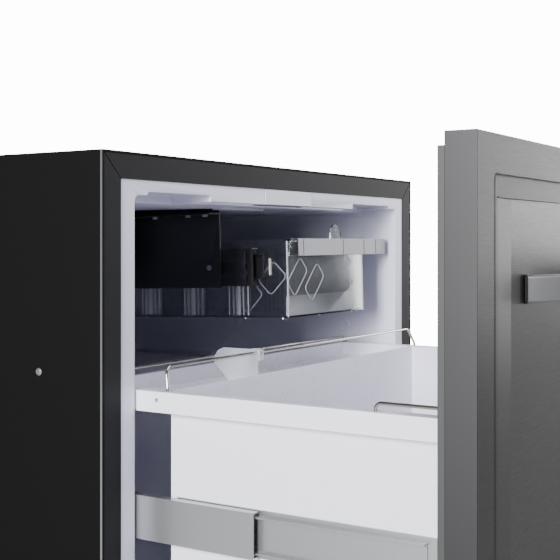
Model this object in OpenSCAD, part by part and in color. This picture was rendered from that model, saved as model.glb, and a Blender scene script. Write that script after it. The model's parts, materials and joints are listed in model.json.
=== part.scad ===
// Built-in single-drawer freezer with an ice maker: cabinet, pull-out drawer,
// ice bin on its own slides, ice mould with rake, and the cooling works.
// X to the cabinet's right, Y to its back, Z up. The origin is on the floor,
// under the middle of the cabinet's front face. The drawer is drawn pulled out.

/* [Cabinet] */
// Width of the cabinet
body_w = 600; // [596:1:604]
// Depth of the cabinet, front face to back panel
body_d = 560; // [556:1:580]
// Height of the cabinet, floor to top
body_h = 530; // [524:1:560]
// Height of the rubber feet
foot_h = 20; // [16:1:24]
// Sheet thickness of the outer case
sheet = 1.2; // [1:0.1:1.4]
// Width of the dark frame round the opening
frame_w = 24; // [22:1:26]
// Width of the liner's white lip inside the frame
lip_w = 19; // [18:1:20]
// Wall thickness of the plastic liner
liner_t = 2.5; // [2:0.5:3]

/* [Drawer] */
// How far the drawer stands open, gasket face to cabinet face
drawer_open = 305; // [280:1:320]
// Thickness of the drawer's front panel
front_t = 24.4; // [22:0.1:26]
// Thickness of the gasket behind the front panel
gasket_t = 8; // [6:1:9]
// Drawer rim below the top of the cabinet
rim_drop = 210; // [206:1:214]
// Height of the drawer's rim band
rim_h = 18; // [16:1:20]
// Width of the rim's ledge over the deep part's wall
rim_w = 12; // [12:1:13]
// Length of the shallow tray behind the deep part
tray_l = 103; // [90:1:105]
// Wall thickness of the drawer
drawer_t = 2.5; // [2:0.5:3]
// Diameter of the stainless wire rails
wire_d = 3; // [2.5:0.5:4]

/* [Ice bin] */
// Upward pitch of the ice bin and its slides towards the front, degrees
bin_pitch = 1.7; // [0:0.1:2]
// Length of the ice bin
bin_l = 328; // [300:1:335]
// Height of the ice bin
bin_h = 87; // [80:1:88]
// Wall thickness of the ice bin
bin_t = 2; // [1.6:0.1:2.2]
// Height of the band along the bin's front rim
band_h = 19; // [16:1:22]

/* [Ice mould] */
// Number of ice cavities in the mould
cubes = 5; // [3:1:5]
// Distance from one cavity to the next
cube_pitch = 18; // [16:1:18]

/* [Hidden] */
$fn = 48;

top = body_h;
half_w = body_w / 2;
hem = 2.3;
open_x = half_w - frame_w - lip_w;      // inner face of the liner's side walls
frame_x = half_w - frame_w;             // inner edge of the front frame
ceiling_z = top - 42;
fascia_z = top - 40;                    // lower edge of the middle fascia
notch_z = top - 34;                     // lower edge of the thin lip beside it
lip_z = top - 37.4;                     // lower edge of the corner lips
fascia_x = 143;                         // half width of the middle fascia
notch_x = 239;                          // outer end of the thin lip
centre_w = 96;                          // width of the fascia's snap-in cover
pocket_y = 48;
hump_y = 290;                           // step over the machine room, front
hump_z = top - 240;                     // and its top
liner_y = 500;
liner_z = 72;
room_y = 332;                           // machine room, front
room_z = hump_z - 40;                   // and its ceiling
room_low = 135;                         // the room is full width up to here
room_x = 192;                           // and this half width above
channel_x = 228;                        // side channels for the drawer slides
channel_z = 165;
channel_y = 415;

rim_z = top - rim_drop;
rim_x = open_x - 3;
wall_x = rim_x - rim_w;
panel_y = -drawer_open - gasket_t;      // back of the front panel
panel_face = panel_y - front_t;
panel_z0 = foot_h + 2;
panel_z1 = top - 1.6;
deep_y0 = panel_y + 5.3;                // front of the drawer box, on the inner panel
deep_y1 = -28;                          // back wall of the deep part
tray_y = deep_y1 + tray_l;
deep_z = 80;
rail_z = rim_z + 21.5;                  // height of the rear wire rail
t_rail = 1.5;                           // its legs stand this far before the wall's back

slide_z = top - 322;                    // middle of the drawer slides
slide_h = 45;
slide_t = 13;
slide_l = 370;
slide_y = 30;

bin_y = 12;
bin_x0 = 16.5;
bin_x1 = 191;
bin_z1 = top - 76;
bin_z0 = bin_z1 - bin_h;
bin_slide_z = top - 106;
bin_slide_h = 42;
bin_slide_l = 280;
bin_slide_y = 50;
flange_x = 231.5;                       // outer face of the bin's turned-down flange
plate_x = bin_x0 - slide_t;             // face of the left bracket
plate_x2 = flange_x + slide_t;          // face of the right bracket
plate_y0 = 92;
plate_y1 = 225;
plate_y2 = 336;

mould_x = -42;
mould_y = 238;
mould_z = top - 66;
mould_l = cubes * cube_pitch + 4;
mould_r = 26;
shaft_z = mould_z + 2;

tube_z = top - 50;
tube_path = [[-232, 520, 112], [-232, 520, 122], [-232, 535, 137], [-232, 535, tube_z], [mould_x, 535, tube_z],
    [mould_x, mould_y + mould_l + 12, tube_z]];
suction_path = [[130, 503, 100], [130, 530, 120], [130, 530, hump_z + 40], [130, 495, hump_z + 40]];
capillary_path = [[20, 500, 52], [20, 500, 34], [20, 545, 34], [20, 545, hump_z + 60],
    [20, 495, hump_z + 60]];

// Box between two corners
module box(a, b) {
    translate(a) cube(b - a);
}

// The same shape on both sides of the cabinet's middle
module both_sides() {
    children();
    mirror([1, 0, 0]) children();
}

// Bent round wire or tube: an eight-sided sweep along a list of points, whose
// corners are cut back by bend, or by d if none is given, for two steps a bend
function unit(v) = v / norm(v);
function eased(p, d) = [for (i = [0 : len(p) - 1], k = (i == 0 || i == len(p) - 1) ? [0] : [-1, 1])
    k == 0 ? p[i] : p[i] + d * unit(p[i + k] - p[i])];
function along(p, i) = i == 0 ? unit(p[1] - p[0]) : i == len(p) - 1 ? unit(p[i] - p[i - 1])
    : unit(unit(p[i] - p[i - 1]) + unit(p[i + 1] - p[i]));
function carried(n, t) = unit(n - t * (n * t));
function normals(p, i, n) = i == len(p) ? []
    : let (m = carried(n, along(p, i))) concat([m], normals(p, i + 1, m));
module wire(points, d, bend = 0) {
    sides = 8;
    p = eased(points, bend > 0 ? bend : d);
    n = normals(p, 0, [0.31, 0.52, 0.79]);
    last = (len(p) - 1) * sides;
    ring = [for (i = [0 : len(p) - 1], k = [0 : sides - 1])
        p[i] + d / 2 * (cos(k * 360 / sides) * n[i]
            + sin(k * 360 / sides) * cross(along(p, i), n[i]))];
    walls = [for (i = [0 : len(p) - 2], k = [0 : sides - 1], half = [0, 1])
        let (j = (k + 1) % sides, a = i * sides, b = a + sides)
        half == 0 ? [a + j, a + k, b + k] : [a + j, b + k, b + j]];
    ends = [[for (k = [0 : sides - 1]) k], [for (k = [0 : sides - 1]) last + sides - 1 - k]];
    polyhedron(points = ring, faces = concat(walls, ends));
}

// Box whose upright edges are rounded
module rounded_box(a, b, r) {
    s = b - a;
    translate(a) linear_extrude(s[2]) union() {
        translate([r, 0]) square([s[0] - 2 * r, s[1]]);
        translate([0, r]) square([s[0], s[1] - 2 * r]);
        for (x = [r, s[0] - r], y = [r, s[1] - r]) translate([x, y]) circle(r);
    }
}

// Pitches the bin, its slides and brackets about the bin's lower front edge
module pitched() {
    translate([0, bin_y, bin_z0]) rotate([-bin_pitch, 0, 0]) translate([0, -bin_y, -bin_z0])
        children();
}

// Members of a three-part telescopic slide, seen from its fixed side towards +X
module outer_member(h, l) {
    box([0, 0, -h / 2], [1.3, l, h / 2]);
    for (m = [0, 1]) mirror([0, 0, m]) box([0, 0, h / 2 - 1.3], [11.4, l, h / 2]);
}
module middle_member(h, l) {
    v = h / 2 - 3.2;
    box([3.4, 0, -v], [4.6, l, v]);
    for (m = [0, 1]) mirror([0, 0, m]) box([3.4, 0, v - 1.2], [11.2, l, v]);
}
module inner_member(h, l) {
    v = h / 2 - 7;
    box([slide_t - 1.4, 0, -v], [slide_t, l, v]);
    for (m = [0, 1]) mirror([0, 0, m]) box([6.4, 0, v - 1.2], [slide_t, l, v]);
}

// ---- Cabinet ----

// Folded steel wrapper: top and two sides, hemmed along the front
module outer_case() {
    inner = half_w - sheet;
    color("#232323") difference() {
        box([-half_w, 0, foot_h], [half_w, body_d, top]);
        box([-half_w + hem, -1, foot_h - 1], [half_w - hem, 10, top - hem]);
        box([-inner, 9, foot_h - 1], [inner, body_d + 1, top - sheet]);
    }
}

// Steel back sheet above the machine room
module case_back() {
    inner = half_w - sheet;
    color("#2b2b2c") difference() {
        box([-inner, body_d - sheet, room_z], [inner, body_d, top - sheet]);
        fixings() cylinder(r = 2.5, h = 6);
    }
}

// Four fixing holes in the back, drilled forwards
module fixings() {
    for (x = [-200, 200], z = [room_z + 30, top - 30])
        translate([x, body_d + 1, z]) rotate([90, 0, 0]) children();
}

// Steel base pan
module case_base() {
    inner = half_w - sheet;
    color("#2b2b2c") difference() {
        union() {
            box([-inner, 10, foot_h], [inner, body_d - 2, foot_h + 2]);
            box([-half_w + hem, 2.5, foot_h], [half_w - hem, 10, foot_h + 2]);
            box([-half_w + hem, 2.5, foot_h + 2], [half_w - hem, 4, foot_h + 12]);
        }
        for (x = [-172 : 20 : -152], y = [room_y + 70, room_y + 110])
            rounded_box([x - 4, y, foot_h - 1], [x + 4, y + 30, foot_h + 3], 3.9);
    }
}

module rubber_feet() {
    color("#161616") both_sides() for (y = [45, body_d - 45])
        translate([half_w - 50, y, 0]) difference() {
            cylinder(r = 18, h = foot_h);
            translate([0, 0, -1]) cylinder(r = 6, h = 9);
        }
}

// Low round-headed screws in the side walls
module side_screws() {
    color("#77777a") both_sides() for (y = [75, body_d - 75])
        translate([half_w, y, top - 194]) rotate([0, 90, 0]) difference() {
            cylinder(r1 = 3.4, r2 = 2.2, h = 1.2);
            for (a = [0, 90]) rotate([0, 0, a]) box([-1.6, -0.35, 0.5], [1.6, 0.35, 2]);
        }
}

// Dark frame round the opening, mitred at its corners
module front_frame() {
    edge = half_w - hem - 0.2;
    z0 = foot_h + 2.2;
    z1 = top - hem - 0.2;
    color("#3c3c3d") difference() {
        box([-edge, 0.3, z0], [edge, 2.2, z1]);
        box([-frame_x, -1, z0 + frame_w - 2], [frame_x, 4, top - frame_w]);
        both_sides() {
            translate([edge, 0.3, z1]) rotate([0, -45, 0]) box([-40, -1, -0.4], [1, 0.7, 0.4]);
            translate([edge, 0.3, z0]) rotate([0, 45, 0]) box([-40, -1, -0.4], [1, 0.7, 0.4]);
        }
    }
}

// Box whose edges along Y are rounded
module tunnel(a, b, r) {
    translate([0, b[1], 0]) rotate([90, 0, 0])
        rounded_box([a[0], a[2], 0], [b[0], b[2], b[1] - a[1]], r);
}

// Space inside the liner, grown by g on every closed side
module cavity(g) {
    tunnel([-open_x - g, -1, hump_z - g], [open_x + g, liner_y + g, ceiling_z + g], 8 + g);
    tunnel([-open_x - g, -1, liner_z - g], [open_x + g, hump_y + g, ceiling_z + g], 8 + g);
    both_sides() box([channel_x - g, hump_y - 50, channel_z - g],
        [open_x + g, channel_y + g, hump_z + 1]);
    both_sides() {
        tunnel([fascia_x - g, -1, ceiling_z - 20], [open_x + g, pocket_y + g, lip_z + g], 6 + g);
        tunnel([fascia_x - g, -1, ceiling_z - 20], [notch_x + g, pocket_y + g, notch_z + g], 3 + g);
    }
    box([-fascia_x - g, -1, ceiling_z - 1], [fascia_x + g, 15 - g, fascia_z + g]);
}

// White vacuum-formed liner with its front lip and the step over the machine room
module liner() {
    z0 = foot_h + 2.2 + frame_w - 2;
    color("#e4e4ee") difference() {
        union() {
            box([-frame_x, 1.2, z0], [frame_x, 1.2 + liner_t, top - frame_w]);
            intersection() {
                cavity(liner_t);
                box([-half_w, 1.2, 0], [half_w, body_d, top]);
            }
        }
        cavity(0);
        box([-centre_w / 2, 0, fascia_z - 1], [centre_w / 2, 30, top - frame_w + 1]);
        translate([mould_x, liner_y - 1, tube_z]) rotate([-90, 0, 0]) cylinder(r = 4.3, h = 5);
        translate([130, liner_y - 1, hump_z + 40]) rotate([-90, 0, 0]) cylinder(r = 4.3, h = 5);
        translate([20, liner_y - 1, hump_z + 60]) rotate([-90, 0, 0]) cylinder(r = 2, h = 5);
        translate([120, liner_y - 18, hump_z - 4]) cylinder(r = 6, h = 6);
    }
}

// Rigid foam between the case and the liner
module foam_body() {
    inner = half_w - sheet;
    color("#e6d9a8") difference() {
        box([-inner + 0.2, 12, foot_h + 12], [inner - 0.2, body_d - sheet - 0.2, top - sheet - 0.2]);
        box([-half_w, room_y, 0], [half_w, body_d + 1, room_low]);
        box([-room_x, room_y, 0], [room_x, body_d + 1, room_z]);
        cavity(liner_t);
        box([-frame_x, 0, ceiling_z], [frame_x, pocket_y + liner_t, top - frame_w + 1]);
        wire(tube_path, 9, 8);
        wire(suction_path, 9, 8);
        wire(capillary_path, 4.4, 3);
        translate([120, liner_y - 18, room_z - 1]) cylinder(r = 8.2, h = 60);
        fixings() cylinder(r = 4, h = 18);
    }
}

// Round plugs over the liner's foam-filling holes
module wall_plugs() {
    color("#dcdce6") both_sides() for (y = [76, 250])
        translate([open_x, y, top - 189]) rotate([0, -90, 0]) difference() {
            cylinder(r = 8, h = 1.6);
            translate([0, 0, 1]) cylinder(r = 5.5, h = 2);
        }
}

// Snap-in cover in the middle of the top fascia
module centre_cover() {
    w = centre_w / 2 - 0.8;
    color("#dedee8") difference() {
        box([-w, 0.6, fascia_z], [w, 28, top - frame_w]);
        box([-w + 1.8, 2.4, fascia_z + 1.8], [w - 1.8, 29, top - frame_w - 2]);
    }
}

// Light strip under the ceiling, behind the fascia
module lamp_lens() {
    color("#f4f6ff") rounded_box([-42, 60, ceiling_z - 2.4], [42, 76, ceiling_z], 5);
}

// ---- Ice bin, brackets and slides ----

// Black sheet bracket that carries the left slide
module bin_bracket_left() {
    flange = 20;
    color("#17171a") intersection() {
        pitched() difference() {
            union() {
                box([plate_x - 1.5, plate_y0, bin_slide_z - 23], [plate_x, plate_y1, top]);
                box([plate_x - 1.5, plate_y0, bin_slide_z - 23], [plate_x, plate_y2, bin_slide_z + 22]);
                box([plate_x - flange, plate_y0, top - 45.8], [plate_x, plate_y1, top - 44.3]);
                box([plate_x - 1.5 - 10, plate_y2 - 1.5, bin_slide_z - 23],
                    [plate_x, plate_y2, bin_slide_z + 10]);
            }
            for (y = [107, 318]) translate([plate_x - 4, y, bin_slide_z])
                rotate([0, 90, 0]) cylinder(r = 2, h = 6);
        }
        box([-half_w, 0, 0], [half_w, body_d, ceiling_z]);
    }
}

// Black bracket on stand-offs from the right wall
module bin_bracket_right() {
    color("#17171a") pitched() {
        box([plate_x2, 46, bin_slide_z - 22], [plate_x2 + 1.5, plate_y2, bin_z1 + 4]);
        for (y = [60, 300]) box([plate_x2 + 1.5, y, bin_slide_z - 20], [open_x, y + 14, bin_z1 - 6]);
    }
}

// Screws of the left bracket: three up into the ceiling, two into the slide
module bracket_screws() {
    color("#b9b9bd") pitched() {
        for (y = [104, 128, 176]) translate([plate_x - 12, y, top - 48.2]) cylinder(r = 3.4, h = 2.4);
        for (y = [107, 318]) translate([plate_x - 3.2, y, bin_slide_z])
            rotate([0, 90, 0]) cylinder(r = 3.2, h = 1.7);
    }
}

module bin_slide_pair() {
    pitched() {
        translate([plate_x, bin_slide_y, bin_slide_z]) children();
        translate([plate_x2, bin_slide_y, bin_slide_z]) mirror([1, 0, 0]) children();
    }
}
module bin_slides_outer() {
    color("#1b1b1d") bin_slide_pair() difference() {
        outer_member(bin_slide_h, bin_slide_l);
        for (z = [-14, 0, 14]) box([-1, 6, z - 3], [2, 9, z + 3]);
        box([-1, 24, -7], [2, 46, 7]);
    }
}
module bin_slides_middle() {
    color("#2a2a2c") bin_slide_pair() translate([0, 1, 0]) middle_member(bin_slide_h, bin_slide_l - 2);
}
module bin_slides_inner() {
    color("#3a3a3c") bin_slide_pair() translate([0, -8, 0]) inner_member(bin_slide_h, bin_slide_l);
}

// Clear moulded bin, open at the top, with a flange that hangs on the right slide
module ice_bin() {
    y1 = bin_y + bin_l;
    color("#cfd6dc", 0.45) pitched() {
        difference() {
            union() {
                box([bin_x0, bin_y, bin_z0], [bin_x1, y1, bin_z1]);
                box([bin_x1 - bin_t, bin_y, bin_z1 - bin_t], [flange_x, y1, bin_z1]);
                box([flange_x - bin_t, 34, bin_slide_z - 21], [flange_x, y1, bin_z1]);
            }
            box([bin_x0 + bin_t, bin_y + bin_t, bin_z0 + bin_t], [bin_x1 - bin_t, y1 - bin_t, top]);
        }
        for (g = [64, 128, 192, 256], i = [0 : 4]) {
            y = g + 6.5 * i;
            box([bin_x0 + bin_t, y, bin_z0 + bin_t], [bin_x0 + bin_t + 2, y + 2.2, bin_z1 - 8]);
            box([bin_x1 - bin_t - 2, y, bin_z0 + bin_t], [bin_x1 - bin_t, y + 2.2, bin_z1 - 8]);
        }
        for (x = [bin_x0 + 8, (bin_x0 + bin_x1) / 2, bin_x1 - 8], y = [bin_y + 10 : 50 : y1 - 10])
            translate([x, y, bin_z0 - 2]) cylinder(r = 2.6, h = 2);
    }
}

// Frosted strip along the bin's front rim, the finger grip
module bin_front_band() {
    color("#d8dade", 0.8) pitched() difference() {
        box([bin_x0, bin_y - 5, bin_z1 - band_h], [flange_x + 12.5, bin_y, bin_z1 + 0.5]);
        box([bin_x0 + 2, bin_y - 3, bin_z1 - band_h - 1], [flange_x + 10.5, bin_y + 1, bin_z1 - 2]);
    }
}

// Pale plate that stands inside the bin, behind its clear front
module bin_front_plate() {
    color("#c9cbd0") pitched() {
        box([bin_x0 + bin_t + 2.2, bin_y + bin_t, bin_z0 + bin_t],
            [bin_x1 - 22, bin_y + bin_t + 1.2, bin_z1 - 4]);
        box([bin_x0 + bin_t + 2.2, bin_y + bin_t + 1.2, bin_z0 + bin_t],
            [bin_x1 - 22, bin_y + bin_t + 3, bin_z0 + 24]);
    }
}

// Clear scoop hooked over the bin's front plate
module ice_scoop() {
    x = 136;
    z = bin_z1 - 15;
    y0 = bin_y + bin_t + 3.2;
    color("#dfe3e6", 0.6) pitched() {
        difference() {
            translate([x, y0, z]) rotate([-90, 0, 0]) cylinder(r = 24, h = 74);
            translate([x, y0 + 2, z]) rotate([-90, 0, 0]) cylinder(r = 22.2, h = 80);
            box([x - 30, y0 - 1, z], [x + 30, y0 + 80, z + 30]);
        }
        difference() {
            box([x - 12, y0, z], [x + 12, y0 + 2.4, bin_z1 + 6]);
            translate([x, y0 - 1, bin_z1]) rotate([-90, 0, 0]) cylinder(r = 4, h = 5);
        }
        translate([x, y0, bin_z1 + 6]) rotate([-90, 0, 0]) cylinder(r = 12, h = 2.4);
    }
}

// ---- Ice mould and its drive ----

// Cast mould with half-moon cavities
module ice_mould() {
    color("#a9adb0") difference() {
        box([mould_x - 30, mould_y, mould_z - 34], [mould_x + 30, mould_y + mould_l, mould_z]);
        for (i = [0 : cubes - 1]) translate([mould_x, mould_y + 3 + i * cube_pitch, mould_z + 6])
            rotate([-90, 0, 0]) cylinder(r = mould_r, h = cube_pitch - 2);
        box([mould_x - 8, mould_y + 4, mould_z - 9], [mould_x + 8, mould_y + mould_l - 5, mould_z + 1]);
        translate([mould_x, mould_y - 1, shaft_z]) rotate([-90, 0, 0])
            cylinder(r = 3.05, h = mould_l + 2);
    }
}

// Bent heating rod pressed against the mould's underside
module mould_heater() {
    z = mould_z - 34 - 3.3;
    y1 = mould_y + mould_l - 8;
    color("#8b6f52") wire([[mould_x - 18, mould_y + 2, z], [mould_x - 18, y1, z],
        [mould_x + 18, y1, z], [mould_x + 18, mould_y + 2, z]], 6.6);
}

// Hanger from the ceiling to the mould's side
module mould_bracket() {
    x = mould_x - 30;
    color("#8f9194") {
        box([x - 2, mould_y + 6, mould_z - 34], [x, mould_y + mould_l - 6, ceiling_z]);
        box([x - 22, mould_y + 6, ceiling_z - 2], [x - 2, mould_y + mould_l - 6, ceiling_z]);
    }
}

// Shaft with one finger for each cavity
module ice_rake() {
    y0 = mould_y - 24.4;
    color("#d9d9d2") translate([mould_x, 0, shaft_z]) {
        translate([0, y0, 0]) rotate([-90, 0, 0]) cylinder(r = 3, h = mould_l + 26.4);
        for (i = [0 : cubes - 1]) box([-19, mould_y + 7 + i * cube_pitch, -2],
            [0, mould_y + 7 + i * cube_pitch + 8, 2]);
        translate([0, y0, 0]) rotate([-90, 0, 0]) cylinder(r = 8, h = 6);
    }
}

// White housing of the rake's drive, a shell with a hole for the shaft
module gear_housing() {
    a = [mould_x - 32, mould_y - 38, mould_z - 40];
    b = [mould_x + 20, mould_y, mould_z + 18];
    color("#e9e9ea") difference() {
        rounded_box(a, b, 4);
        box(a + [2, 2, 2], b - [2, 2, 2]);
        translate([mould_x, mould_y - 3, shaft_z]) rotate([-90, 0, 0]) cylinder(r = 3.05, h = 5);
    }
}

// Geared motor inside the housing, beside the rake's wheel
module gear_motor() {
    color("#9a9a9a") {
        translate([mould_x, mould_y - 36, shaft_z]) rotate([-90, 0, 0]) cylinder(r = 13, h = 11);
        box([mould_x - 28, mould_y - 36, mould_z - 36], [mould_x + 12, mould_y - 20, shaft_z - 15]);
        box([mould_x - 8, mould_y - 36, shaft_z - 16], [mould_x + 8, mould_y - 26, shaft_z - 10]);
    }
}

// Wire arm that feels how full the bin is
module bail_arm() {
    x = -10;
    z = top - 57;
    y0 = mould_y + 12;
    y1 = mould_y + mould_l - 12;
    color("#b5b7ba") wire([[x, mould_y + 1, z], [x, y0, z], [x + 50, y0, z - 3],
        [x + 54, y0, z - 22], [x + 54, y1, z - 22], [x + 50, y1, z - 3], [x, y1, z],
        [x, mould_y + mould_l - 1, z]], 2.4);
}

// Sloping chute that carries cubes over the slide into the bin
module ice_chute() {
    z = mould_z - 3;
    x = mould_x + 30;
    color("#e2e2e6") difference() {
        union() {
            translate([0, mould_y + mould_l, 0]) rotate([90, 0, 0]) linear_extrude(mould_l)
                polygon([[x, z - 14], [x + 2, z - 14], [x + 2, z - 1.5], [bin_x0 + 4, z - 6],
                    [bin_x0 + 4, z - 4], [x + 2, z + 1], [x, z + 1]]);
            for (y = [mould_y, mould_y + mould_l - 3]) box([x, y, z], [x + 5, y + 3, z + 16]);
        }
        translate([-10, mould_y - 1, top - 57]) rotate([-90, 0, 0])
            cylinder(r = 1.26, h = mould_l + 2);
    }
}

// Small open cup at the mould's back end that the fill tube drips into
module fill_cup() {
    y0 = mould_y + mould_l;
    a = [mould_x - 14, y0, mould_z - 12];
    b = [mould_x + 14, y0 + 24, mould_z + 8];
    color("#dfe0e2") difference() {
        box(a, b);
        box(a + [2, 2, 3], b - [2, 2, -1]);
        translate([mould_x, y0 - 1, shaft_z]) rotate([-90, 0, 0]) cylinder(r = 3.4, h = 4);
    }
}

module fill_tube() {
    color("#e8e8ea") wire(tube_path, 8);
}

// Solenoid valve with its threaded water inlet, facing back
module water_valve() {
    color("#3f6db0") {
        rounded_box([-256, 500, foot_h + 2], [-214, 540, 92], 6);
        translate([-232, 520, 92]) cylinder(r = 6, h = 20);
        translate([-246, 520, 92]) cylinder(r = 3, h = 3);
        difference() {
            translate([-235, 539, 71]) rotate([-90, 0, 0]) cylinder(r = 13.2, h = 21);
            translate([-235, 545, 71]) rotate([-90, 0, 0]) cylinder(r = 9.5, h = 20);
        }
    }
}

// ---- Cooling works ----

module evaporator() {
    z0 = hump_z + 6;
    z1 = top - 150;
    color("#b7bcc0") {
        for (x = [-210 : 14 : 210]) box([x, 464, z0], [x + 0.8, 494, z1]);
        for (x = [-216, 214.4]) box([x, 464, z0], [x + 1.6, liner_y, z1]);
        for (y = [471, 487], z = [z0 + 12, (z0 + z1) / 2, z1 - 12])
            translate([-216, y, z]) rotate([0, 90, 0]) cylinder(r = 4, h = 432);
    }
}

// White cover over the evaporator, with the fan's ring and return slots
module evaporator_cover() {
    z1 = top - 58;
    fan = [120, 452, top - 104];
    color("#dfdfe9") {
        difference() {
            box([-244, 452, hump_z], [244, 454.5, z1]);
            translate(fan) rotate([-90, 0, 0]) translate([0, 0, -1]) cylinder(r = 42, h = 5);
            for (x = [-210 : 20 : 200]) box([x, 451, hump_z + 10], [x + 12, 456, hump_z + 18]);
        }
        for (x = [-244, 242]) box([x, 454.5, hump_z], [x + 2, liner_y, z1]);
        box([-242, 454.5, z1 - 2], [242, liner_y, z1]);
        for (a = [0 : 60 : 150]) translate(fan + [0, 1.2, 0]) rotate([0, a, 0])
            box([-42.5, 0, -1], [42.5, 1.2, 1]);
        for (r = [14, 24, 34]) translate(fan) rotate([-90, 0, 0]) difference() {
            cylinder(r = r + 1, h = 1.2);
            translate([0, 0, -1]) cylinder(r = r - 1, h = 4);
        }
    }
}

// Axial fan: hub and pitched blades
module axial_fan(r, hub, blades, h) {
    rotate([-90, 0, 0]) {
        cylinder(r = hub, h = h);
        for (i = [0 : blades - 1]) rotate([0, 0, i * 360 / blades]) intersection() {
            translate([0, 0, h / 2]) rotate([28, 0, 0]) box([hub - 2, -r * 0.3, -0.8], [r, r * 0.3, 0.8]);
            difference() {
                cylinder(r = r, h = h);
                translate([0, 0, -1]) cylinder(r = hub - 1, h = h + 2);
            }
        }
    }
}
module evaporator_fan() {
    color("#e4e4e4") translate([120, 457, top - 104]) difference() {
        axial_fan(38, 13, 6, 11);
        translate([0, 4, 0]) rotate([-90, 0, 0]) cylinder(r = 2.05, h = 10);
    }
}
module evaporator_fan_motor() {
    color("#2e2e30") translate([120, 0, top - 104]) {
        translate([0, 474, 0]) rotate([-90, 0, 0]) cylinder(r = 16, h = liner_y - 474);
        translate([0, 463, 0]) rotate([-90, 0, 0]) cylinder(r = 2, h = 12);
    }
}

// Hermetic compressor shell on its foot plate
module compressor() {
    color("#1d1d1f") translate([120, 440, 0]) {
        translate([0, 0, 43]) rotate_extrude() union() {
            square([62, 92]);
            translate([0, 92]) intersection() {
                circle(62);
                square([62, 38]);
            }
        }
        difference() {
            box([-95, -72, 40], [95, 72, 43]);
            for (x = [-82, 82], y = [-58, 58]) translate([x, y, 39]) cylinder(r = 6, h = 5);
        }
    }
}
module compressor_mounts() {
    color("#111112") for (x = [-82, 82], y = [-58, 58]) translate([120 + x, 440 + y, foot_h + 2]) {
        cylinder(r = 11, h = 18);
        cylinder(r = 5.9, h = 24);
    }
}
module condenser() {
    color("#3a3b3d") {
        for (x = [-176 : 12 : -44]) box([x, 352, 44], [x + 0.8, 384, 204]);
        for (z = [62, 93, 124, 155, 186], y = [360, 376])
            translate([-184, y, z]) rotate([0, 90, 0]) cylinder(r = 3, h = 148);
        for (x = [-183, -39.5]) box([x, 352, foot_h + 2], [x + 1.5, 384, 208]);
    }
}
module condenser_fan() {
    color("#2c2c2e") translate([-112, 404, 124]) difference() {
        axial_fan(66, 18, 5, 18);
        translate([0, 6, 0]) rotate([-90, 0, 0]) cylinder(r = 3.05, h = 14);
    }
}

// Fan motor on a stand from the base pan
module condenser_fan_motor() {
    color("#6b6d70") {
        translate([-112, 426, 124]) rotate([-90, 0, 0]) cylinder(r = 24, h = 40);
        translate([-112, 412, 124]) rotate([-90, 0, 0]) cylinder(r = 3, h = 15);
        difference() {
            box([-138, 466, foot_h + 2], [-86, 469, 130]);
            box([-128, 460, foot_h + 12], [-96, 470, 90]);
        }
        box([-138, 440, foot_h + 2], [-86, 466, foot_h + 4]);
    }
}
module filter_drier() {
    color("#b87333") translate([20, 500, 60]) {
        cylinder(r = 9, h = 80);
        translate([0, 0, -8]) cylinder(r = 3, h = 8);
        translate([0, 0, 80]) cylinder(r = 3, h = 8);
    }
}
module refrigerant_lines() {
    color("#b5703a") {
        wire(suction_path, 8);
        wire(capillary_path, 3);
        wire([[60, 410, 110], [20, 410, 110], [-20, 368, 110], [-36, 368, 124]], 5);
        wire([[-36, 368, 186], [0, 368, 186], [20, 400, 186], [20, 500, 186], [20, 500, 148]], 5);
    }
}
module drip_pan() {
    color("#2a2a2c") difference() {
        rounded_box([55, 375, 173], [185, 505, 199], 10);
        rounded_box([57, 377, 175], [183, 503, 205], 9);
    }
}
module drain_tube() {
    color("#2f2f31") translate([120, liner_y - 18, 182]) difference() {
        cylinder(r = 8, h = hump_z - 184.5);
        translate([0, 0, -1]) cylinder(r = 6, h = 130);
    }
}

// Electronics box with a recessed mains inlet at its back
module control_box() {
    color("#28282a") difference() {
        rounded_box([-100, 500, foot_h + 2], [-20, 556, 100], 4);
        box([-97, 503, foot_h + 5], [-23, 540, 97]);
        box([-74, 544, 50], [-46, 557, 72]);
    }
    color("#c9a24a") for (x = [-67, -60, -53]) box([x - 1, 544, 60], [x + 1, 552, 64]);
}

// Louvred panel behind the machine room
module rear_grille() {
    inner = half_w - sheet;
    color("#262628") difference() {
        box([-inner, body_d - sheet, foot_h + 2], [inner, body_d, room_z]);
        for (x = [-180, -85, 10, 105], z = [112 : 12 : 220])
            box([x, body_d - 3, z], [x + 80, body_d + 1, z + 5]);
        translate([-235, body_d - 3, 71]) rotate([-90, 0, 0]) cylinder(r = 24, h = 5);
        box([-78, body_d - 3, 46], [-42, body_d + 1, 76]);
    }
}

// ---- Drawer ----

step = 2.2;                             // depth of the front's sunk field at its edge
relief = 3.5;                           // and in its middle
grip_z = top - 115;                     // middle of the handle
grip_l = 197;                           // half its length

// Sloped sunk field and the finger hollow behind the handle
module front_relief(g) {
    y = panel_face;
    tunnel([-267 - g, y - 1, panel_z0 + 29 - g], [267 + g, y + step + g, top - 30 + g], 4 + g);
    hull() {
        box([-256 - g, y + step - 0.5 + g, panel_z0 + 45 - g], [256 + g, y + step + g, top - 47 + g]);
        box([-226, y + step + g, panel_z0 + 75], [226, y + relief + g, top - 47 + g]);
    }
}

// Satin steel skin of the front, folded round its four edges
module front_skin() {
    y0 = panel_face;
    color("#6f7072") difference() {
        box([-half_w, y0, panel_z0], [half_w, panel_y, panel_z1]);
        difference() {
            box([-half_w + 1, y0 + 1, panel_z0 + 1], [half_w - 1, panel_y + 1, panel_z1 - 1]);
            front_relief(1);
        }
        front_relief(0);
    }
}
module front_core() {
    color("#e6d9a8") difference() {
        box([-half_w + 1.2, panel_face + 1.2, panel_z0 + 1.2],
            [half_w - 1.2, panel_y - 1, panel_z1 - 1.2]);
        front_relief(1.4);
    }
}

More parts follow.
